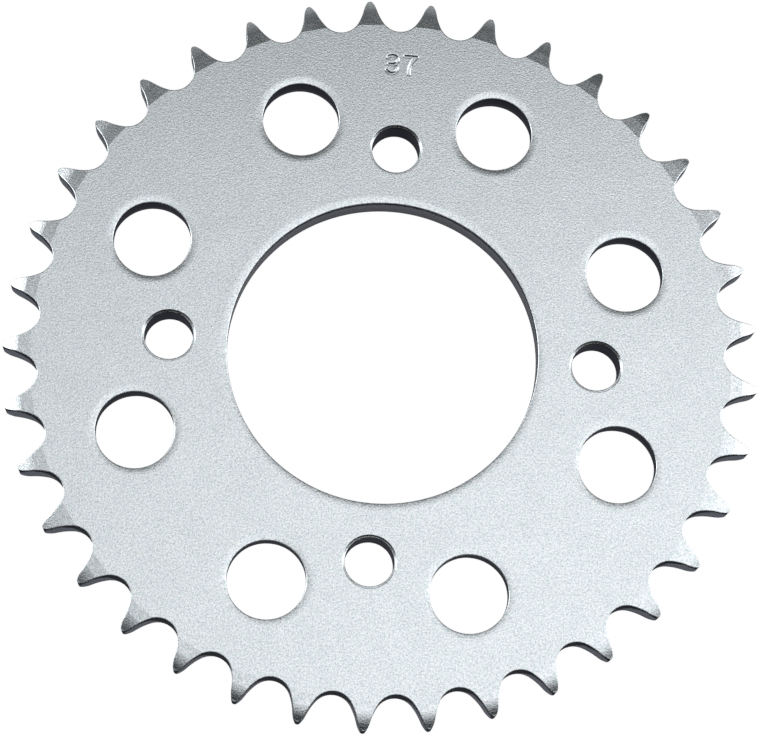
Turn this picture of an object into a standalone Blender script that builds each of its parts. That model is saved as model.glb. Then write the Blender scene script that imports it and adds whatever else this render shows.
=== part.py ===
"""Rear sprocket for a motorcycle roller chain: one flat steel plate with its teeth cut in the rim.

The plate lies flat. The origin is the centre of the bore on the hub-side face, +Z runs along the
sprocket's axis and out of the numbered outer face, and +Y runs through one of the bolt holes.
"""

import math

import bmesh
import bpy
from mathutils import Matrix, Vector

MM = 0.001

# Chain, which sets the teeth: 5/8 inch pitch with 10.16 mm rollers
TEETH = 37
PITCH = 15.875 * MM
ROLLER = 10.16 * MM
PITCH_RADIUS = PITCH / 2 / math.sin(math.pi / TEETH)
TOOTH_ANGLE = 2 * math.pi / TEETH

# Tooth outline: the roller's seat, the working arc, a straight flank and the topping arc
SEAT_RADIUS = ROLLER / 2 + 0.22 * MM
SEAT_HALF_ANGLE = math.radians(54.2)
WORKING_RADIUS = 14.7 * MM
WORKING_ANGLE = math.radians(15.9)
FLANK_LENGTH = 0.5 * MM
TOPPING_RADIUS = 7.4 * MM
TIP_RADIUS = 97.3 * MM
TIP_LAND = 0.16 * MM
GAP_INDEX = math.radians(0.7)

# Side relief of the teeth: a flat cone on each face, then an arc that steepens out to the tips
THICKNESS = 7.5 * MM
RELIEF_RADIUS = 90.0 * MM
NOSE_RADIUS = 93.1 * MM
CONE_ANGLE = math.radians(5.2)
NOSE_START = math.radians(8.6)
NOSE_END = math.radians(21.5)
HUB_SHARE = 0.65

# Bore and lightening holes, punched from the outer face
BORE_RADIUS = 40.0 * MM
BORE_BREAKOUT = 0.15 * MM
LIGHT_HOLES = 8
LIGHT_CIRCLE_RADIUS = 66.5 * MM
LIGHT_RADIUS = 10.0 * MM
LIGHT_BREAKOUT = 0.6 * MM
ROLL_WIDTH = 2.2 * MM
ROLL_DEPTH = 0.125 * MM
CORNER_WIDTH = 0.28 * MM
CORNER_DEPTH = 0.18 * MM
SHEARED_SHARE = 0.55

# Bolt holes, drilled, chamfered on the outer face and deburred on the hub face
BOLT_HOLES = 4
BOLT_CIRCLE_RADIUS = 55.0 * MM
BOLT_RADIUS = 6.25 * MM
CHAMFER_WIDTH = 0.62 * MM
CHAMFER_DEPTH = 0.52 * MM
DEBURR = 0.15 * MM

# Tooth count, stamped in plain numerals between the bolt hole on +Y and the rim
NUMERAL_HEIGHT = 5.7 * MM
THREE_WIDTH = 3.5 * MM
SEVEN_WIDTH = 3.9 * MM
NUMERAL_SPACING = 4.9 * MM
NUMERAL_STROKE = 0.6 * MM
NUMERAL_DEPTH = 0.3 * MM
NUMERAL_CENTRE_RADIUS = 78.9 * MM

# Smoothness
BLANK_STEPS = 2 * TEETH
LIGHT_STEPS = 28
BOLT_STEPS = 24
NOSE_STEPS = 2
OVERCUT = 2.0 * MM
SHARP_ANGLE = math.radians(25)


def clear_scene():
    """Removes every object that is already in the file."""
    for old in list(bpy.data.objects):
        bpy.data.objects.remove(old)


def steel():
    """Satin silver-grey plated steel."""
    made = bpy.data.materials.new("plated_steel")
    made.use_nodes = True
    shader = made.node_tree.nodes["Principled BSDF"]
    shader.inputs["Base Color"].default_value = (0.60, 0.62, 0.63, 1.0)
    shader.inputs["Metallic"].default_value = 0.9
    shader.inputs["Roughness"].default_value = 0.38
    return made


def add_object(name, bm):
    """Turns a bmesh into a named object in the scene."""
    bmesh.ops.recalc_face_normals(bm, faces=bm.faces[:])
    mesh = bpy.data.meshes.new(name)
    bm.to_mesh(mesh)
    bm.free()
    made = bpy.data.objects.new(name, mesh)
    bpy.context.scene.collection.objects.link(made)
    return made


def arc(centre, radius, start, end, steps):
    """Points along an arc, both ends included. Angles are in radians from +X."""
    points = []
    for i in range(steps + 1):
        angle = start + (end - start) * i / steps
        points.append(Vector((centre.x + radius * math.cos(angle), centre.y + radius * math.sin(angle))))
    return points


def lathe(bm, profile, steps, centre=Vector((0, 0)), closed=False, start=0.0):
    """Adds a solid turned about the vertical line through centre. The profile holds (radius, height) pairs.

    A closed profile makes a ring. An open one makes a plug with a flat cap at each end.
    """
    rings = []
    for radius, height in profile:
        ring = []
        for i in range(steps):
            angle = start + 2 * math.pi * i / steps
            x = centre.x + radius * math.cos(angle)
            y = centre.y + radius * math.sin(angle)
            ring.append(bm.verts.new((x, y, height)))
        rings.append(ring)
    pairs = list(zip(rings, rings[1:]))
    if closed:
        pairs.append((rings[-1], rings[0]))
    else:
        bm.faces.new(rings[0])
        bm.faces.new(rings[-1])
    for lower, upper in pairs:
        for i in range(steps):
            j = (i + 1) % steps
            bm.faces.new((lower[i], lower[j], upper[j], upper[i]))


def prism(bm, outline, bottom, top):
    """Adds an upright solid with the given outline, between two heights."""
    base = [bm.verts.new((p.x, p.y, bottom)) for p in outline]
    face = bm.faces.new(base)
    grown = bmesh.ops.extrude_face_region(bm, geom=[face])["geom"]
    verts = [v for v in grown if isinstance(v, bmesh.types.BMVert)]
    bmesh.ops.translate(bm, vec=(0, 0, top - bottom), verts=verts)


def on_circle(radius, angle):
    """The point at an angle on a circle round the axis."""
    return Vector((radius * math.cos(angle), radius * math.sin(angle)))


def relief():
    """(radius, drop) pairs across a tooth's side relief."""
    cone_drop = (NOSE_RADIUS - RELIEF_RADIUS) * math.tan(CONE_ANGLE)
    bend = (TIP_RADIUS - NOSE_RADIUS) / (math.sin(NOSE_END) - math.sin(NOSE_START))
    pairs = [(RELIEF_RADIUS, 0.0)]
    for i in range(NOSE_STEPS + 1):
        tilt = NOSE_START + (NOSE_END - NOSE_START) * i / NOSE_STEPS
        radius = NOSE_RADIUS + bend * (math.sin(tilt) - math.sin(NOSE_START))
        pairs.append((radius, cone_drop + bend * (math.cos(NOSE_START) - math.cos(tilt))))
    return pairs


def punched_wall(radius, breakout, overcut=0.0):
    """(radius, height) pairs down a punched hole: rolled edge, corner, sheared band, then the wider break-out."""
    sheared = THICKNESS * (1 - SHEARED_SHARE)
    return [
        (radius + ROLL_WIDTH, THICKNESS + overcut),
        (radius + ROLL_WIDTH, THICKNESS),
        (radius + CORNER_WIDTH, THICKNESS - ROLL_DEPTH),
        (radius, THICKNESS - ROLL_DEPTH - CORNER_DEPTH),
        (radius, sheared),
        (radius + breakout, 0.0),
        (radius + breakout, -overcut),
    ]


def blank_profile():
    """(radius, height) pairs round the blank's section: bore, hub face, rim with its reliefs, outer face."""
    bore = punched_wall(BORE_RADIUS, BORE_BREAKOUT)[1:-1]
    hub_side = [(radius, HUB_SHARE * drop) for radius, drop in relief()]
    outer_side = [(radius, THICKNESS - drop) for radius, drop in relief()]
    return bore + hub_side + outer_side[::-1]


def blank():
    """The turned blank, before the tooth gaps and the holes are cut."""
    bm = bmesh.new()
    first_tooth = math.pi / 2 + GAP_INDEX + TOOTH_ANGLE / 2
    lathe(bm, blank_profile(), BLANK_STEPS, closed=True, start=first_tooth)
    return add_object("sprocket_plate", bm)


def half_gap():
    """Right half of a tooth gap's outline, from its bottom to the tooth's tip. The gap points along +Y.

    The roller's seat leads into the working arc, a short straight flank and the convex topping arc,
    and a full round closes the tip of the tooth.
    """
    seat_centre = Vector((0, PITCH_RADIUS))
    seat_end = SEAT_HALF_ANGLE - math.pi / 2
    points = arc(seat_centre, SEAT_RADIUS, -math.pi / 2, seat_end, 4)
    towards = Vector((math.cos(seat_end), math.sin(seat_end)))
    working_centre = seat_centre - (WORKING_RADIUS - SEAT_RADIUS) * towards
    flank_angle = seat_end + WORKING_ANGLE
    points += arc(working_centre, WORKING_RADIUS, seat_end, flank_angle, 2)[1:]
    outward = Vector((math.cos(flank_angle), math.sin(flank_angle)))
    along = Vector((-outward.y, outward.x))
    flank_end = points[-1] + FLANK_LENGTH * along
    topping_centre = flank_end + TOPPING_RADIUS * outward
    tooth = Vector((math.sin(TOOTH_ANGLE / 2), math.cos(TOOTH_ANGLE / 2)))
    tip_round = tip_round_radius(topping_centre, tooth)
    tip_centre = (TIP_RADIUS - tip_round) * tooth
    meeting = tip_centre - topping_centre
    topping_end = math.atan2(meeting.y, meeting.x)
    points += arc(topping_centre, TOPPING_RADIUS, flank_angle + math.pi, topping_end, 3)
    tip_end = math.pi / 2 - TOOTH_ANGLE / 2 + TIP_LAND / 2 / tip_round
    points += arc(tip_centre, tip_round, topping_end, tip_end, 3)[1:]
    points.append(points[-1] + OVERCUT * tooth)
    return points


def tip_round_radius(topping_centre, tooth):
    """Radius of the round that touches the tip circle and, from inside, both topping arcs of a tooth."""
    along = topping_centre.dot(tooth)
    excess = TIP_RADIUS**2 - 2 * TIP_RADIUS * along + topping_centre.length_squared - TOPPING_RADIUS**2
    return excess / 2 / (TIP_RADIUS - along - TOPPING_RADIUS)


def gap_cutter():
    """One upright cutter for each gap between two teeth."""
    right = half_gap()
    left = [Vector((-p.x, p.y)) for p in right[:0:-1]]
    bm = bmesh.new()
    for i in range(TEETH):
        turn = Matrix.Rotation(GAP_INDEX + i * TOOTH_ANGLE, 2)
        prism(bm, [turn @ p for p in left + right], -OVERCUT, THICKNESS + OVERCUT)
    return add_object("gap_cutter", bm)


def light_hole_cutter():
    """Cutters for the lightening holes. The bolt holes lie midway between neighbouring ones."""
    bm = bmesh.new()
    profile = punched_wall(LIGHT_RADIUS, LIGHT_BREAKOUT, OVERCUT)
    for i in range(LIGHT_HOLES):
        centre = on_circle(LIGHT_CIRCLE_RADIUS, (i + 0.5) * 2 * math.pi / LIGHT_HOLES)
        lathe(bm, profile, LIGHT_STEPS, centre)
    return add_object("light_hole_cutter", bm)


def bolt_hole_cutter():
    """Cutters for the bolt holes, with a chamfer at the outer face and a smaller one at the hub face."""
    profile = [
        (BOLT_RADIUS + DEBURR, -OVERCUT),
        (BOLT_RADIUS + DEBURR, 0),
        (BOLT_RADIUS, DEBURR),
        (BOLT_RADIUS, THICKNESS - CHAMFER_DEPTH),
        (BOLT_RADIUS + CHAMFER_WIDTH, THICKNESS),
        (BOLT_RADIUS + CHAMFER_WIDTH, THICKNESS + OVERCUT),
    ]
    bm = bmesh.new()
    for i in range(BOLT_HOLES):
        centre = on_circle(BOLT_CIRCLE_RADIUS, i * 2 * math.pi / BOLT_HOLES)
        lathe(bm, profile, BOLT_STEPS, centre)
    return add_object("bolt_hole_cutter", bm)


def numeral_three():
    """Outline of a plain block 3, centred on the origin: two wide bowls that share a short middle bar."""
    half = NUMERAL_STROKE / 2
    bowl = (NUMERAL_HEIGHT - NUMERAL_STROKE) / 4
    upper = Vector((0, bowl))
    lower = Vector((0, -bowl))
    opening = math.radians(155)
    waist = math.asin(bowl / (bowl + half))
    points = arc(upper, bowl + half, opening, -waist, 9)
    points += arc(lower, bowl + half, waist, -opening, 9)[1:]
    points += arc(lower, bowl - half, -opening, math.pi / 2, 8)
    points += [Vector((-0.8 * bowl, -half)), Vector((-0.8 * bowl, half))]
    points += arc(upper, bowl - half, -math.pi / 2, opening, 8)
    widen = THREE_WIDTH / 2 / (bowl + half)
    return [Vector((p.x * widen, p.y)) for p in points]


def numeral_seven():
    """Outline of a plain 7, centred on the origin: a level bar, and a leg that bends down into an upright foot."""
    half = NUMERAL_STROKE / 2
    top = NUMERAL_HEIGHT / 2
    side = SEVEN_WIDTH / 2
    foot = Vector((-0.2 * (side - half), half - top))
    rise = 0.4 * (top - half)
    across = side - half - foot.x
    climb = 2 * (top - half) - rise
    bend = (across**2 + climb**2) / 2 / across
    centre = foot + Vector((bend, rise))
    under = top - NUMERAL_STROKE
    right_start = math.acos((side - centre.x) / (bend - half))
    left_end = math.pi - math.asin((under - centre.y) / (bend + half))
    points = [Vector((-side, under)), Vector((-side, top)), Vector((side, top))]
    points += arc(centre, bend - half, right_start, math.pi, 5)
    points += [Vector((foot.x + half, -top)), Vector((foot.x - half, -top))]
    points += arc(centre, bend + half, math.pi, left_end, 5)
    return points


def numeral_cutter():
    """Cutters for the two numerals of the tooth count, read with +Y upwards."""
    bm = bmesh.new()
    for outline, side in ((numeral_three(), -1), (numeral_seven(), 1)):
        centre = Vector((side * NUMERAL_SPACING / 2, NUMERAL_CENTRE_RADIUS))
        prism(bm, [p + centre for p in outline], THICKNESS - NUMERAL_DEPTH, THICKNESS + OVERCUT)
    return add_object("numeral_cutter", bm)


def cut(target, cutter):
    """Subtracts a cutter from the target."""
    modifier = target.modifiers.new(cutter.name, "BOOLEAN")
    modifier.operation = "DIFFERENCE"
    modifier.solver = "EXACT"
    modifier.object = cutter


def keep_cuts(target):
    """Makes the cut shape the target's own mesh, so that its round walls can be shaded smooth."""
    graph = bpy.context.evaluated_depsgraph_get()
    target.data = bpy.data.meshes.new_from_object(target.evaluated_get(graph))
    target.modifiers.clear()
    target.data.shade_smooth()
    target.data.set_sharp_from_angle(angle=SHARP_ANGLE)


def sprocket_plate():
    """The whole sprocket: the blank with its tooth gaps, holes and numerals cut."""
    plate = blank()
    cutters = (gap_cutter(), light_hole_cutter(), bolt_hole_cutter(), numeral_cutter())
    for cutter in cutters:
        cut(plate, cutter)
    keep_cuts(plate)
    for cutter in cutters:
        bpy.data.objects.remove(cutter)
    plate.data.name = plate.name
    plate.data.materials.append(steel())


clear_scene()
sprocket_plate()
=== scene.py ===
"""Looks for the rear sprocket: a fine mesh of the plate, its plated finish, a pale floor and soft light."""

import math

import bmesh
import bpy
from mathutils import Matrix, Vector


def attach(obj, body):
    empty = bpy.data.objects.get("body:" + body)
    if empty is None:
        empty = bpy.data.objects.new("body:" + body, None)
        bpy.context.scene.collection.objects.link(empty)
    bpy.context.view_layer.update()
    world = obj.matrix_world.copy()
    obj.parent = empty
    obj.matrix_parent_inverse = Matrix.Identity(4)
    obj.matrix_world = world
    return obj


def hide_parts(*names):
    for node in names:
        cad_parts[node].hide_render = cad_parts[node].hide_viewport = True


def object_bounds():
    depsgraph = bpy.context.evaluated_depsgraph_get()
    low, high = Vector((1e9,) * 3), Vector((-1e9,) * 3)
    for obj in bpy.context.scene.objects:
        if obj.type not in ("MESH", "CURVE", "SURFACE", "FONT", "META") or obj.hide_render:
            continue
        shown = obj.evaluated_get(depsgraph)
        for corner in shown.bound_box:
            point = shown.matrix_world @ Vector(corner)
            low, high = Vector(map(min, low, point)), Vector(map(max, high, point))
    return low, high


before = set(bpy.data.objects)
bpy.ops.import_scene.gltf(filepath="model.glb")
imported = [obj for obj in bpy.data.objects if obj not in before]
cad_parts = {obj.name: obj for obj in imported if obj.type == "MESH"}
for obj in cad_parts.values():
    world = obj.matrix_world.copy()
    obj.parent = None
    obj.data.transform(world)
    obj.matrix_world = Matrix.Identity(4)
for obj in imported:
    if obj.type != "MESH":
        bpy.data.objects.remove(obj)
CAD_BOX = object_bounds()

MM = 0.001
NODE = "sprocket_plate"
UP = Vector((0, 0, 1))

# Plate, from the frame
BOTTOM = CAD_BOX[0].z
TOP = CAD_BOX[1].z
THICKNESS = TOP - BOTTOM

# Teeth: the roller's seat, the working arc, a straight flank, the topping arc and a round tip
TEETH = 37
PITCH = 15.875 * MM
ROLLER = 10.16 * MM
TOOTH_ANGLE = 2 * math.pi / TEETH
PITCH_RADIUS = PITCH / 2 / math.sin(TOOTH_ANGLE / 2)
SEAT_RADIUS = ROLLER / 2 + 0.22 * MM
SEAT_HALF_ANGLE = math.radians(54.2)
WORKING_RADIUS = 14.7 * MM
WORKING_ANGLE = math.radians(15.9)
FLANK_LENGTH = 0.5 * MM
TOPPING_RADIUS = 7.4 * MM
TIP_RADIUS = 97.3 * MM
GAP_INDEX = math.radians(0.7)

# Side relief of the teeth: a flat cone, then an arc that steepens out to the tips. EDGE_ is the small round
# where a face meets the tooth walls.
RELIEF_RADIUS = 90.0 * MM
NOSE_RADIUS = 93.1 * MM
CONE_ANGLE = math.radians(5.2)
NOSE_START = math.radians(8.6)
NOSE_END = math.radians(21.5)
HUB_SHARE = 0.65
EDGE_WIDTH = 0.28 * MM
EDGE_DROP = 0.1 * MM
ROUND_STEPS = 4
WALL_STEPS = 4
RELIEF_COLUMNS = 4

# Bore and lightening holes, punched from the outer face
BORE_RADIUS = 40.0 * MM
BORE_BREAKOUT = 0.15 * MM
BORE_STEPS = 240
LIGHT_HOLES = 8
LIGHT_CIRCLE_RADIUS = 66.5 * MM
LIGHT_RADIUS = 10.0 * MM
LIGHT_BREAKOUT = 0.6 * MM
LIGHT_STEPS = 112
ROLL_WIDTH = 2.2 * MM
ROLL_DEPTH = 0.125 * MM
ROLL_STEPS = 10
CORNER_WIDTH = 0.28 * MM
CORNER_DEPTH = 0.18 * MM
CORNER_STEPS = 6
SHEARED_SHARE = 0.55

# Bolt holes, drilled, chamfered on the outer face and deburred on the hub face
BOLT_HOLES = 4
BOLT_CIRCLE_RADIUS = 55.0 * MM
BOLT_RADIUS = 6.25 * MM
CHAMFER_WIDTH = 0.62 * MM
CHAMFER_DEPTH = 0.52 * MM
CHAMFER_ROUND = 0.06 * MM
DEBURR = 0.15 * MM
DEBURR_ROUND = 0.03 * MM
BOLT_STEPS = 80

# Tooth count, stamped in plain numerals between the bolt hole on +Y and the rim
NUMERAL_HEIGHT = 5.7 * MM
THREE_WIDTH = 3.5 * MM
SEVEN_WIDTH = 3.9 * MM
NUMERAL_SPACING = 4.9 * MM
NUMERAL_STROKE = 0.6 * MM
NUMERAL_REACH = 0.6 * MM
NUMERAL_SINK = 0.28 * MM
NUMERAL_DEPTH = 0.1 * MM
NUMERAL_CENTRE_RADIUS = 78.9 * MM
NUMERAL_GRID = 0.075 * MM

# A thin flat strip keeps the flat faces' shading flat beside every rounded edge
GUARD = 0.05 * MM

# Camera: tilted and turned off the plate's axis, and the plate turned under it
CAMERA_TILT = math.radians(15.25)
CAMERA_TURN = math.radians(3.04)
PLATE_TURN = math.radians(3.56)
CAMERA_DISTANCE = 638.4 * MM
CAMERA_SHIFT = Vector((0.78, 4.43, 0)) * MM
LENS = 117.9
FLOOR_SIZE = 6.0

FACE, TOOTH_WALL, HOLE_WALL, BORE_WALL = range(4)


# Mesh helpers


def unit(angle):
    """Direction at an angle from +X, in the plane of the plate."""
    return Vector((math.cos(angle), math.sin(angle)))


def arc(centre, radius, start, end, steps, side=1):
    """(point, normal) pairs along an arc.

    The normal points out of the metal: side is -1 where the arc is hollow.
    """
    pairs = []
    for i in range(steps + 1):
        out = unit(start + (end - start) * i / steps)
        pairs.append((centre + radius * out, side * out))
    return pairs


def ring(bm, points, height):
    """Vertices at 2-D points, at one height or at a height for each point."""
    heights = height if isinstance(height, list) else [height] * len(points)
    return [bm.verts.new((p.x, p.y, z)) for p, z in zip(points, heights)]


def strip(bm, first, second, material, closed=True):
    """Quads between two rows of vertices."""
    count = len(first)
    for i in range(count if closed else count - 1):
        j = (i + 1) % count
        quad = (first[i], first[j], second[j], second[i])
        corners = [v for k, v in enumerate(quad) if v not in quad[:k]]
        face = bm.faces.new(corners)
        face.material_index = material


def edges_between(bm, row, closed=True):
    """The edges that join neighbouring vertices of a row, made where they are missing."""
    found = []
    count = len(row)
    for i in range(count if closed else count - 1):
        ends = (row[i], row[(i + 1) % count])
        found.append(bm.edges.get(ends) or bm.edges.new(ends))
    return found


# Teeth


def relief_drop(radius):
    """How far the outer face is turned down at a radius."""
    cone_drop = (max(RELIEF_RADIUS, min(NOSE_RADIUS, radius)) - RELIEF_RADIUS) * math.tan(CONE_ANGLE)
    if radius <= NOSE_RADIUS:
        return cone_drop
    bend = (TIP_RADIUS - NOSE_RADIUS) / (math.sin(NOSE_END) - math.sin(NOSE_START))
    tilt = math.asin(math.sin(NOSE_START) + (radius - NOSE_RADIUS) / bend)
    return cone_drop + bend * (math.cos(NOSE_START) - math.cos(tilt))


def angle_at(centre, radius, distance):
    """Angle on a circle, on its clockwise side, at which the circle is a distance away from the axis."""
    cosine = (distance**2 - centre.length_squared - radius**2) / (2 * radius * centre.length)
    return math.atan2(centre.y, centre.x) - math.acos(cosine)


def tip_round_radius(topping_centre, tooth):
    """Radius of the round that touches the tip circle and, from inside, both topping arcs of a tooth."""
    along = topping_centre.dot(tooth)
    excess = TIP_RADIUS**2 - 2 * TIP_RADIUS * along + topping_centre.length_squared - TOPPING_RADIUS**2
    return excess / 2 / (TIP_RADIUS - along - TOPPING_RADIUS)


def half_gap():
    """Right half of a tooth gap that points along +Y, from its bottom to the tooth's tip.

    Returns (point, normal) pairs, and the indices of the two whose rounded edges start on the relief circle
    and on the circle where the nose of the relief begins.
    """
    seat_centre = Vector((0, PITCH_RADIUS))
    crease = angle_at(seat_centre, SEAT_RADIUS + EDGE_WIDTH, RELIEF_RADIUS)
    seat_end = SEAT_HALF_ANGLE - math.pi / 2
    pairs = arc(seat_centre, SEAT_RADIUS, -math.pi / 2, crease, 5, side=-1)
    crease_index = len(pairs) - 1
    pairs += arc(seat_centre, SEAT_RADIUS, crease, seat_end, 2, side=-1)[1:]
    working_centre = seat_centre - (WORKING_RADIUS - SEAT_RADIUS) * unit(seat_end)
    flank_angle = seat_end + WORKING_ANGLE
    nose = angle_at(working_centre, WORKING_RADIUS + EDGE_WIDTH, NOSE_RADIUS)
    pairs += arc(working_centre, WORKING_RADIUS, seat_end, nose, 3, side=-1)[1:]
    nose_index = len(pairs) - 1
    pairs += arc(working_centre, WORKING_RADIUS, nose, flank_angle, 2, side=-1)[1:]
    outward = unit(flank_angle)
    flank_end = pairs[-1][0] + FLANK_LENGTH * Vector((-outward.y, outward.x))
    topping_centre = flank_end + TOPPING_RADIUS * outward
    tooth = Vector((math.sin(TOOTH_ANGLE / 2), math.cos(TOOTH_ANGLE / 2)))
    tip_round = tip_round_radius(topping_centre, tooth)
    tip_centre = (TIP_RADIUS - tip_round) * tooth
    meeting = tip_centre - topping_centre
    topping_end = math.atan2(meeting.y, meeting.x)
    pairs += arc(topping_centre, TOPPING_RADIUS, flank_angle + math.pi, topping_end, 6)
    pairs += arc(tip_centre, tip_round, topping_end, math.pi / 2 - TOOTH_ANGLE / 2, 4)[1:]
    return pairs, crease_index, nose_index


def outline():
    """(point, normal) pairs clockwise round all the teeth, starting at the bottom of the first gap.

    Also the numbers of the points, in half a gap, at the relief circle, at its nose and at the tooth's tip.
    """
    right, crease, nose = half_gap()
    left = [(Vector((-p.x, p.y)), Vector((-n.x, n.y))) for p, n in right]
    pairs = []
    for i in range(TEETH):
        turn = Matrix.Rotation(GAP_INDEX - i * TOOTH_ANGLE, 2)
        back = Matrix.Rotation(GAP_INDEX - (i + 1) * TOOTH_ANGLE, 2)
        pairs += [(turn @ p, turn @ n) for p, n in right]
        pairs += [(back @ p, back @ n) for p, n in left[-2:0:-1]]
    return pairs, (crease, nose, len(right) - 1)


def face_height(point, side):
    """Height of the outer face (side 1) or the hub face (side -1) at a point, relief included."""
    drop = relief_drop(point.length)
    return TOP - drop if side > 0 else BOTTOM + HUB_SHARE * drop


def edge_rings(bm, pairs, side):
    """The rounded edge between a face and the tooth walls, as rings from the face down to the wall."""
    rings = []
    inner = [p - n * EDGE_WIDTH for p, n in pairs]
    heights = [face_height(p, side) for p in inner]
    for k in range(ROUND_STEPS + 1):
        turn = math.pi / 2 * k / ROUND_STEPS
        points = [p + n * EDGE_WIDTH * math.sin(turn) for p, (_, n) in zip(inner, pairs)]
        fall = EDGE_DROP * (1 - math.cos(turn))
        rings.append(ring(bm, points, [z - side * fall for z in heights]))
    for upper, lower in zip(rings, rings[1:]):
        strip(bm, upper, lower, FACE)
    return rings


def tooth_walls(bm, upper, lower):
    """The upright walls of the teeth, between the rounded edges of the two faces."""
    rows = [upper]
    for k in range(1, WALL_STEPS):
        share = k / WALL_STEPS
        rows.append([bm.verts.new(a.co.lerp(b.co, share)) for a, b in zip(upper, lower)])
    rows.append(lower)
    for first, second in zip(rows, rows[1:]):
        strip(bm, first, second, TOOTH_WALL)


def relief_row(bm, left, right):
    """One row across a tooth's relief, at constant radius, with a guard vertex next to each flank."""
    a = Vector((left.co.x, left.co.y))
    b = Vector((right.co.x, right.co.y))
    guard = min(0.12, GUARD / (a - b).length)
    shares = [guard] + [k / RELIEF_COLUMNS for k in range(1, RELIEF_COLUMNS)] + [1 - guard]
    start = math.atan2(a.y, a.x)
    sweep = a.angle_signed(b)
    points = [a.length * unit(start - sweep * share) for share in shares]
    return [left] + ring(bm, points, left.co.z) + [right]


def tooth_relief(bm, edge, start, marks):
    """The relieved face of one tooth. Returns its inmost row, which lies on the relief circle."""
    crease, nose, tip = marks
    count = len(edge)
    rows = []
    for j in range(crease, tip):
        rows.append(relief_row(bm, edge[(start + j) % count], edge[(start + 2 * tip - j) % count]))
    for first, second in zip(rows, rows[1:]):
        strip(bm, first, second, FACE, closed=False)
    point = edge[(start + tip) % count]
    for a, b in zip(rows[-1], rows[-1][1:]):
        bm.faces.new((a, b, point)).material_index = FACE
    for row in (rows[0], rows[nose - crease]):
        for line in edges_between(bm, row, closed=False):
            line.smooth = False
    return rows[0]


def rim_of_flat(bm, pairs, edge, side, marks):
    """Everything between the rounded edge and the flat face. Returns the loop that bounds the flat face."""
    crease, _, tip = marks
    count = len(edge)
    rows = [tooth_relief(bm, edge, i * 2 * tip, marks) for i in range(TEETH)]
    height = TOP if side > 0 else BOTTOM
    loop = []
    for i in range(TEETH):
        before = rows[i - 1]
        after = rows[i]
        numbers = [(i * 2 * tip + t) % count for t in range(-crease, crease + 1)]
        inner = [pairs[k][0] - pairs[k][1] * (EDGE_WIDTH + GUARD) for k in numbers[1:-1]]
        guard = [before[-2]] + ring(bm, inner, height) + [after[1]]
        strip(bm, [edge[k] for k in numbers], guard, FACE, closed=False)
        loop += guard[:-1] + after[1:-2]
    return loop


# Holes


def punched_profile(radius, breakout, wall):
    """(radius, height, material) down a punched hole.

    Rolled edge, corner, sheared band, break-out, and a small round at the hub face.
    """
    profile = [(radius + ROLL_WIDTH + GUARD, TOP, FACE)]
    slope = 2 * ROLL_DEPTH / ROLL_WIDTH
    start = math.atan(slope * CORNER_WIDTH / CORNER_DEPTH)
    roll_end = CORNER_WIDTH * (1 - math.sin(start))
    for k in range(ROLL_STEPS + 1):
        share = k / ROLL_STEPS
        across = ROLL_WIDTH + (roll_end - ROLL_WIDTH) * share
        profile.append((radius + across, TOP - ROLL_DEPTH * share**2, FACE))
    for k in range(1, CORNER_STEPS + 1):
        turn = start + (math.pi / 2 - start) * k / CORNER_STEPS
        fall = ROLL_DEPTH + CORNER_DEPTH * (math.cos(start) - math.cos(turn))
        profile.append((radius + CORNER_WIDTH * (1 - math.sin(turn)), TOP - fall, FACE))
    sheared = TOP - THICKNESS * SHEARED_SHARE
    soft = 0.3 * MM
    edge = 0.1 * MM
    taper = breakout / (sheared - BOTTOM)
    profile += [
        (radius, profile[-1][1] - 2 * GUARD, wall),
        (radius, sheared + soft, wall),
        (radius + soft * taper * 0.5, sheared - soft * 0.5, wall),
        (radius + breakout * 0.5, BOTTOM + (sheared - BOTTOM) * 0.5, wall),
        (radius + breakout, BOTTOM + edge, wall),
        (radius + breakout + edge * 0.3, BOTTOM + edge * 0.3, FACE),
        (radius + breakout + edge, BOTTOM, FACE),
        (radius + breakout + edge + GUARD, BOTTOM, FACE),
    ]
    return profile


def chamfered_end(radius, width, depth, soft):
    """(radius, fall, material) from a face into a drilled hole: a chamfer with both its edges softened."""
    slope = depth / width
    return [
        (radius + width + soft + GUARD, 0, FACE),
        (radius + width + soft, 0, FACE),
        (radius + width - soft * 0.2, soft * 0.5 * slope, FACE),
        (radius + width - soft, soft * slope, FACE),
        (radius + soft, depth - soft * slope, FACE),
        (radius + soft * 0.2, depth, HOLE_WALL),
        (radius, depth + soft, HOLE_WALL),
        (radius, depth + 4 * soft, HOLE_WALL),
    ]


def drilled_profile():
    """(radius, height, material) down a bolt hole."""
    outer = chamfered_end(BOLT_RADIUS, CHAMFER_WIDTH, CHAMFER_DEPTH, CHAMFER_ROUND)
    hub = chamfered_end(BOLT_RADIUS, DEBURR, DEBURR, DEBURR_ROUND)
    upper = [(r, TOP - fall, material) for r, fall, material in outer]
    lower = [(r, BOTTOM + fall, material) for r, fall, material in hub[::-1]]
    return upper + lower


def hole(bm, centre, profile, steps):
    """Turns a hole's profile about its centre. Returns the rims that lie in the outer and the hub face."""
    rings = []
    for radius, height, _ in profile:
        points = [centre + radius * unit(2 * math.pi * i / steps) for i in range(steps)]
        rings.append(ring(bm, points, height))
    for k in range(len(rings) - 1):
        strip(bm, rings[k], rings[k + 1], profile[k + 1][2])
    return rings[0], rings[-1]


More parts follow.
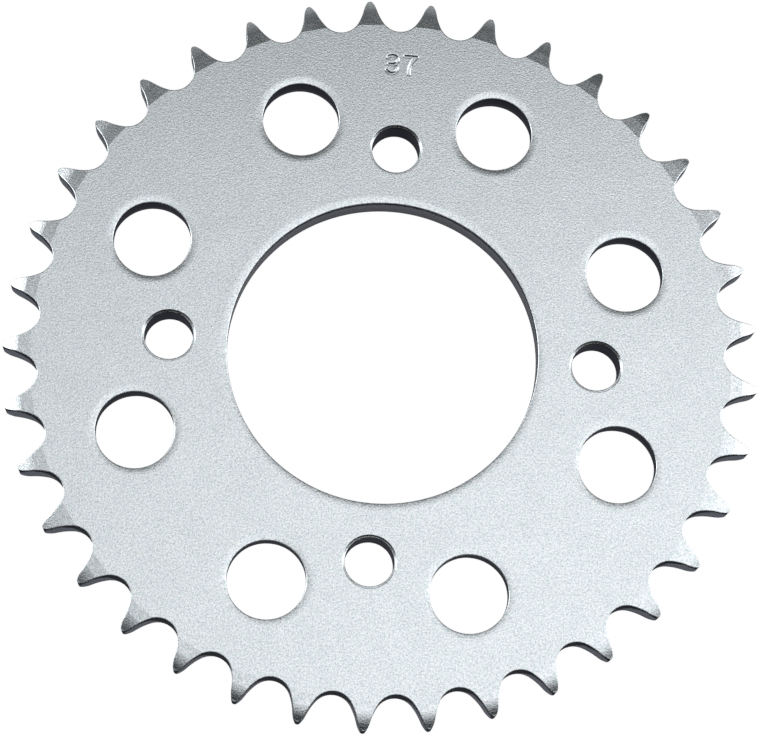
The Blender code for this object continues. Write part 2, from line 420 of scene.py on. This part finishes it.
def holes(bm):
    """All the holes. Returns (outer rim, hub rim) pairs."""
    rims = []
    profile = punched_profile(BORE_RADIUS, BORE_BREAKOUT, BORE_WALL)
    rims.append(hole(bm, Vector((0, 0)), profile, BORE_STEPS))
    profile = punched_profile(LIGHT_RADIUS, LIGHT_BREAKOUT, HOLE_WALL)
    for i in range(LIGHT_HOLES):
        centre = LIGHT_CIRCLE_RADIUS * unit((i + 0.5) * 2 * math.pi / LIGHT_HOLES)
        rims.append(hole(bm, centre, profile, LIGHT_STEPS))
    profile = drilled_profile()
    for i in range(BOLT_HOLES):
        centre = BOLT_CIRCLE_RADIUS * unit(i * 2 * math.pi / BOLT_HOLES)
        rims.append(hole(bm, centre, profile, BOLT_STEPS))
    return rims


# Numerals


def path(centre, radius, start, end, steps=14):
    """Points along an arc of a numeral's centre line. Angles are in degrees."""
    return [p for p, _ in arc(centre, radius, math.radians(start), math.radians(end), steps)]


def numeral_three():
    """Centre lines of a plain block 3: two bowls that share a short middle bar."""
    bowl = (NUMERAL_HEIGHT - NUMERAL_STROKE) / 4
    upper = Vector((0, bowl))
    lower = Vector((0, -bowl))
    bowls = [path(upper, bowl, 155, -90), path(lower, bowl, 90, -155)]
    widen = (THREE_WIDTH - NUMERAL_STROKE) / 2 / bowl
    lines = [[Vector((p.x * widen, p.y)) for p in points] for points in bowls]
    return lines + [[Vector((-0.7 * bowl, 0)), Vector((0, 0))]]


def numeral_seven():
    """Centre lines of a plain 7: a level bar, and a leg that bends from its end into an upright foot."""
    top = (NUMERAL_HEIGHT - NUMERAL_STROKE) / 2
    side = (SEVEN_WIDTH - NUMERAL_STROKE) / 2
    foot = Vector((-0.2 * side, -top))
    rise = 0.4 * top
    across = side - foot.x
    bend = (across**2 + (2 * top - rise) ** 2) / 2 / across
    end = 180 - math.degrees(math.asin((2 * top - rise) / bend))
    leg = path(foot + Vector((bend, rise)), bend, 180, end)
    return [[Vector((-side, top)), Vector((side, top))], [foot] + leg]


def numeral_lines():
    """Centre lines of both numerals, in place on the plate."""
    lines = []
    for strokes, side in ((numeral_three(), -1), (numeral_seven(), 1)):
        centre = Vector((side * NUMERAL_SPACING / 2, NUMERAL_CENTRE_RADIUS))
        lines += [[p + centre for p in stroke] for stroke in strokes]
    return lines


def distance_to(point, lines):
    """Distance from a point to the nearest centre line."""
    nearest = math.inf
    for line in lines:
        for a, b in zip(line, line[1:]):
            along = b - a
            share = max(0.0, min(1.0, (point - a).dot(along) / along.length_squared))
            nearest = min(nearest, (point - a - share * along).length)
    return nearest


def stamp_depth(distance):
    """Depth of the stamping at a distance from its centre line: a steep groove in a wider, sunken band."""
    groove = max(0.0, 1 - distance / (NUMERAL_STROKE / 2))
    band = max(0.0, 1 - distance / NUMERAL_REACH)
    return NUMERAL_DEPTH * groove + NUMERAL_SINK * band**1.5


def numeral_patch(bm):
    """A fine grid of the outer face with the numerals pressed in. Returns the loop round it."""
    lines = numeral_lines()
    columns = 2 * round((NUMERAL_SPACING / 2 + 0.65 * SEVEN_WIDTH) / NUMERAL_GRID)
    rows = 2 * round(0.6 * NUMERAL_HEIGHT / NUMERAL_GRID)
    grid = []
    for j in range(rows + 1):
        row = []
        for i in range(columns + 1):
            across = (i - columns / 2) * NUMERAL_GRID
            up = (j - rows / 2) * NUMERAL_GRID + NUMERAL_CENTRE_RADIUS
            point = Vector((across, up))
            row.append(bm.verts.new((point.x, point.y, TOP - stamp_depth(distance_to(point, lines)))))
        grid.append(row)
    for first, second in zip(grid, grid[1:]):
        strip(bm, first, second, FACE, closed=False)
    right = [row[-1] for row in grid[1:-1]]
    left = [row[0] for row in grid[-2:0:-1]]
    return grid[0] + right + grid[-1][::-1] + left


# Whole plate


def fill_flat(bm, loops, side):
    """Fills a flat face between its outer loop and the loops of its holes."""
    edges = []
    for loop in loops:
        edges += edges_between(bm, loop)
    made = bmesh.ops.triangle_fill(bm, edges=edges, use_beauty=True, normal=side * UP)
    for face in made["geom"]:
        if isinstance(face, bmesh.types.BMFace):
            face.material_index = FACE


def sprocket():
    """The plate as one closed mesh."""
    bm = bmesh.new()
    pairs, marks = outline()
    outer = edge_rings(bm, pairs, 1)
    hub = edge_rings(bm, pairs, -1)
    tooth_walls(bm, outer[-1], hub[-1])
    outer_loop = rim_of_flat(bm, pairs, outer[0], 1, marks)
    hub_loop = rim_of_flat(bm, pairs, hub[0], -1, marks)
    rims = holes(bm)
    fill_flat(bm, [outer_loop, numeral_patch(bm)] + [rim for rim, _ in rims], 1)
    fill_flat(bm, [hub_loop] + [rim for _, rim in rims], -1)
    bmesh.ops.recalc_face_normals(bm, faces=bm.faces[:])
    for face in bm.faces:
        face.smooth = True
    mesh = bpy.data.meshes.new("sprocket")
    bm.to_mesh(mesh)
    bm.free()
    made = bpy.data.objects.new("sprocket", mesh)
    bpy.context.scene.collection.objects.link(made)
    return made


# Materials


class Nodes:
    """Adds nodes to a node tree and links them as it goes."""

    def __init__(self, tree):
        self.tree = tree

    def add(self, kind, values=None, **settings):
        """A node with its settings and its input values. A socket given as a value is linked."""
        node = self.tree.nodes.new(kind)
        for name, value in settings.items():
            setattr(node, name, value)
        for name, value in (values or {}).items():
            if isinstance(value, bpy.types.NodeSocket):
                self.tree.links.new(value, node.inputs[name])
            else:
                node.inputs[name].default_value = value
        return node

    def math(self, operation, first, second=0.0):
        """The result socket of a Math node."""
        return self.add("ShaderNodeMath", {0: first, 1: second}, operation=operation).outputs[0]

    def vector_math(self, operation, values):
        """A Vector Math node."""
        return self.add("ShaderNodeVectorMath", values, operation=operation)

    def remap(self, value, old, new, smooth=False):
        """The result socket of a Map Range node, from the old range to the new one."""
        values = {"Value": value, "From Min": old[0], "From Max": old[1]}
        values.update({"To Min": new[0], "To Max": new[1]})
        kind = "SMOOTHSTEP" if smooth else "LINEAR"
        return self.add("ShaderNodeMapRange", values, interpolation_type=kind).outputs[0]

    def noise(self, vector, size, detail=2.0, roughness=0.5):
        """Noise whose cells are about size metres across."""
        values = {"Vector": vector, "Scale": 1 / size, "Detail": detail, "Roughness": roughness}
        return self.add("ShaderNodeTexNoise", values).outputs["Fac"]

    def mix(self, share, first, second):
        """The result socket of a colour mix."""
        node = self.add("ShaderNodeMix", data_type="RGBA")
        for index, value in ((0, share), (6, first), (7, second)):
            if isinstance(value, bpy.types.NodeSocket):
                self.tree.links.new(value, node.inputs[index])
            else:
                node.inputs[index].default_value = value
        return node.outputs[2]


def new_material(name):
    """A material with an empty node tree and its helper."""
    made = bpy.data.materials.new(name)
    made.use_nodes = True
    made.node_tree.nodes.clear()
    return made, Nodes(made.node_tree)


def finish_material(nodes, values):
    """Closes a material with a Principled BSDF."""
    shader = nodes.add("ShaderNodeBsdfPrincipled", values)
    nodes.add("ShaderNodeOutputMaterial", {"Surface": shader.outputs[0]})


# Plating: its colour, the size of the blasted grain, specks and clouds, how much the specks lighten and
# darken it, and how much they differ in hue
ZINC = (0.81, 0.87, 0.905)
CLOUDY_ZINC = (0.70, 0.75, 0.77, 1)
GRAIN_SIZE = 0.4 * MM
GRAIN_HEIGHT = 0.032 * MM
SPECK_SIZE = 0.42 * MM
SPECK_GAIN = 1.3
SPECK_BASE = 0.34
SPECK_HUE = 0.18
CLOUD_SIZE = 9.0 * MM


def plated_face():
    """Satin zinc plating on blasted steel: light and dark specks that differ a little in hue, faint clouds."""
    made, nodes = new_material("plated_steel")
    place = nodes.add("ShaderNodeTexCoord").outputs["Object"]
    grain = nodes.noise(place, GRAIN_SIZE, detail=1.5, roughness=0.6)
    clouds = nodes.noise(place, CLOUD_SIZE, detail=3.0)
    specks = nodes.add("ShaderNodeTexNoise", {"Vector": place, "Scale": 1 / SPECK_SIZE, "Detail": 1.0})
    speck = nodes.mix(SPECK_HUE, specks.outputs["Fac"], specks.outputs["Color"])
    values = {0: speck, 1: (SPECK_GAIN,) * 3, 2: (SPECK_BASE,) * 3}
    shade = nodes.vector_math("MULTIPLY_ADD", values).outputs[0]
    colour = nodes.vector_math("MULTIPLY", {0: ZINC, 1: shade}).outputs[0]
    cloud_share = nodes.remap(clouds, (0.3, 0.7), (0.0, 0.06))
    colour = nodes.mix(cloud_share, colour, CLOUDY_ZINC)
    roughness = nodes.remap(clouds, (0.3, 0.7), (0.24, 0.27))
    bump = nodes.add("ShaderNodeBump", {"Height": grain, "Distance": GRAIN_HEIGHT, "Strength": 1.0})
    finish_material(
        nodes,
        {"Base Color": colour, "Metallic": 1.0, "Roughness": roughness, "Normal": bump.outputs[0]},
    )
    return made


def depth_share(nodes, place):
    """0 at the outer face, 1 at the hub face, wandering a little."""
    height = nodes.add("ShaderNodeSeparateXYZ", {0: place}).outputs["Z"]
    wander = nodes.remap(nodes.noise(place, 2.0 * MM), (0.3, 0.7), (-0.04, 0.04))
    return nodes.math("ADD", nodes.remap(height, (TOP, BOTTOM), (0.0, 1.0)), wander)


def outward_share(nodes, place):
    """How much a wall faces away from the axis: 1 at the bottom of a tooth gap, less up its flanks. It masks
    the painted shade on the tooth walls.
    """
    flat = nodes.vector_math("MULTIPLY", {0: place, 1: (1, 1, 0)}).outputs[0]
    radial = nodes.vector_math("NORMALIZE", {0: flat}).outputs[0]
    normal = nodes.add("ShaderNodeNewGeometry").outputs["Normal"]
    facing = nodes.vector_math("DOT_PRODUCT", {0: normal, 1: radial}).outputs["Value"]
    return nodes.math("POWER", nodes.math("MAXIMUM", facing, 0.0), 1.5)


def wall_material(nodes, made, share, dark, light, roughness):
    """A cut wall whose colour goes from a dark band, which is painted shade, to a lighter one, with fine
    cutting grain.
    """
    place = nodes.add("ShaderNodeTexCoord").outputs["Object"]
    colour = nodes.mix(share, dark, light)
    grain = nodes.noise(place, 0.25 * MM)
    bump = nodes.add("ShaderNodeBump", {"Height": grain, "Distance": 0.015 * MM, "Strength": 1.0})
    finish_material(
        nodes,
        {"Base Color": colour, "Metallic": 1.0, "Roughness": roughness, "Normal": bump.outputs[0]},
    )
    return made


def tooth_wall():
    """Cut walls of the teeth, with painted shade: dark under the outer face and deep in the gaps, lighter on
    the flanks.
    """
    made, nodes = new_material("tooth_wall")
    place = nodes.add("ShaderNodeTexCoord").outputs["Object"]
    # Painted shade: the colour goes dark under the outer face and where a wall faces out of a gap, and lighter
    # towards the hub face and up the flanks.
    level = nodes.math("SUBTRACT", depth_share(nodes, place), outward_share(nodes, place))
    share = nodes.remap(level, (-0.06, 0.12), (0.0, 1.0), smooth=True)
    return wall_material(nodes, made, share, (0.03, 0.03, 0.035, 1), (0.8, 0.81, 0.85, 1), 0.4)


def hole_wall(name, front, back, roughness):
    """Wall of a hole: a dark line under the outer face, which is painted shade, then a colour that changes
    towards the hub face.
    """
    made, nodes = new_material(name)
    place = nodes.add("ShaderNodeTexCoord").outputs["Object"]
    depth = depth_share(nodes, place)
    shade = nodes.mix(depth, front, back)
    # Painted shade: a dark line along the top of the wall, just under the outer face.
    share = nodes.remap(depth, (0.08, 0.3), (0.0, 1.0), smooth=True)
    return wall_material(nodes, made, share, (0.03, 0.03, 0.035, 1), shade, roughness)


# Stage


def floor():
    """A plain pale floor under the plate, seen from above only, so that the hub face can be looked at."""
    bm = bmesh.new()
    bmesh.ops.create_grid(bm, x_segments=1, y_segments=1, size=FLOOR_SIZE / 2)
    mesh = bpy.data.meshes.new("floor")
    bm.to_mesh(mesh)
    bm.free()
    made = bpy.data.objects.new("floor", mesh)
    made.location.z = BOTTOM - 0.2 * MM
    bpy.context.scene.collection.objects.link(made)
    material, nodes = new_material("pale_floor")
    white = nodes.add("ShaderNodeEmission", {"Color": (1, 1, 1, 1), "Strength": 1.0}).outputs[0]
    clear = nodes.add("ShaderNodeBsdfTransparent").outputs[0]
    below = nodes.add("ShaderNodeNewGeometry").outputs["Backfacing"]
    seen = nodes.add("ShaderNodeMixShader", {0: below, 1: white, 2: clear}).outputs[0]
    nodes.add("ShaderNodeOutputMaterial", {"Surface": seen})
    mesh.materials.append(material)
    made.visible_glossy = False
    made.visible_diffuse = False
    made.visible_shadow = False


def band(nodes, angle, start, end, soft):
    """1 between two angles in degrees, fading to 0 over soft degrees at each side."""
    low = (math.radians(start - soft), math.radians(start + soft))
    high = (math.radians(end - soft), math.radians(end + soft))
    rise = nodes.remap(angle, low, (0.0, 1.0), smooth=True)
    fall = nodes.remap(angle, high, (1.0, 0.0), smooth=True)
    return nodes.math("MULTIPLY", rise, fall)


# Soft boxes round the plate: (right from, right to, up from, up to, softness across, softness along,
# strength), angles in degrees from straight above the outer face
SOFT_BOXES = (
    (-13, 90, -17, 23, 17, 4, 1.07),
    (-73, -27, 8, 40, 10, 18, 3.7),
    (39, 53, 9, 39, 20, 1, 3.2),
    (-21, 20, 55, 92, 1, 24, 0.45),
    (68, 95, -180, 180, 6, 1, 0.9),
)
ROOM = (0.004, 0.004, 0.004)
BEHIND = (0.10, 0.105, 0.12)

# Glow of the studio's walls all round the horizon: (from, to, softness, strength), angles in degrees from
# straight above
HORIZON = (77, 93, 7, 0.85)


def studio():
    """The studio as a world: soft boxes, a dim room, a glow at the horizon, white where the camera looks."""
    world = bpy.data.worlds.new("studio")
    bpy.context.scene.world = world
    world.use_nodes = True
    world.node_tree.nodes.clear()
    nodes = Nodes(world.node_tree)
    direction = nodes.add("ShaderNodeTexCoord").outputs["Generated"]
    turned = nodes.add(
        "ShaderNodeVectorRotate", {"Vector": direction, "Angle": -PLATE_TURN}, rotation_type="Z_AXIS"
    ).outputs[0]
    axes = nodes.add("ShaderNodeSeparateXYZ", {0: turned}).outputs
    right = nodes.math("ARCSINE", axes["X"])
    up = nodes.math("ARCTAN2", axes["Y"], axes["Z"])
    below = nodes.remap(axes["Z"], (0.2, -0.2), (0.0, 1.0), smooth=True)
    total = nodes.mix(below, (*ROOM, 1), (*BEHIND, 1))
    for left_edge, right_edge, low_edge, high_edge, soft_across, soft_along, strength in SOFT_BOXES:
        across = band(nodes, right, left_edge, right_edge, soft_across)
        along = band(nodes, up, low_edge, high_edge, soft_along)
        box = nodes.math("MULTIPLY", nodes.math("MULTIPLY", across, along), strength)
        total = nodes.vector_math("ADD", {0: total, 1: box}).outputs[0]
    from_above = nodes.math("ARCCOSINE", axes["Z"])
    upper_edge, lower_edge, soft, strength = HORIZON
    glow = nodes.math("MULTIPLY", band(nodes, from_above, upper_edge, lower_edge, soft), strength)
    total = nodes.vector_math("ADD", {0: total, 1: glow}).outputs[0]
    seen = nodes.add("ShaderNodeLightPath").outputs["Is Camera Ray"]
    colour = nodes.mix(seen, total, (1, 1, 1, 1))
    background = nodes.add("ShaderNodeBackground", {"Color": colour, "Strength": 1.0}).outputs[0]
    nodes.add("ShaderNodeOutputWorld", {"Surface": background})


def camera():
    """The camera above the plate, tilted towards the side away from the numerals."""
    data = bpy.data.cameras.new("camera")
    data.lens = LENS
    made = bpy.data.objects.new("camera", data)
    bpy.context.scene.collection.objects.link(made)
    lean = Matrix.Rotation(-CAMERA_TILT, 4, "X") @ Matrix.Rotation(CAMERA_TURN, 4, "Y")
    turn = Matrix.Rotation(PLATE_TURN, 4, "Z")
    back = CAMERA_DISTANCE * UP - CAMERA_SHIFT
    made.matrix_world = Matrix.Translation(TOP * UP) @ turn @ lean.transposed() @ Matrix.Translation(back)
    bpy.context.scene.camera = made


plate = sprocket()
plate.data.materials.append(plated_face())
plate.data.materials.append(tooth_wall())
plate.data.materials.append(hole_wall("hole_wall", (0.09, 0.10, 0.13, 1), (0.06, 0.07, 0.085, 1), 0.3))
plate.data.materials.append(hole_wall("bore_wall", (0.8, 0.8, 0.8, 1), (0.52, 0.52, 0.54, 1), 0.45))
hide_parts(NODE)
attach(plate, "root")
floor()
studio()
camera()
bpy.context.scene.view_settings.view_transform = "Standard"
bpy.context.scene.cycles.use_denoising = False
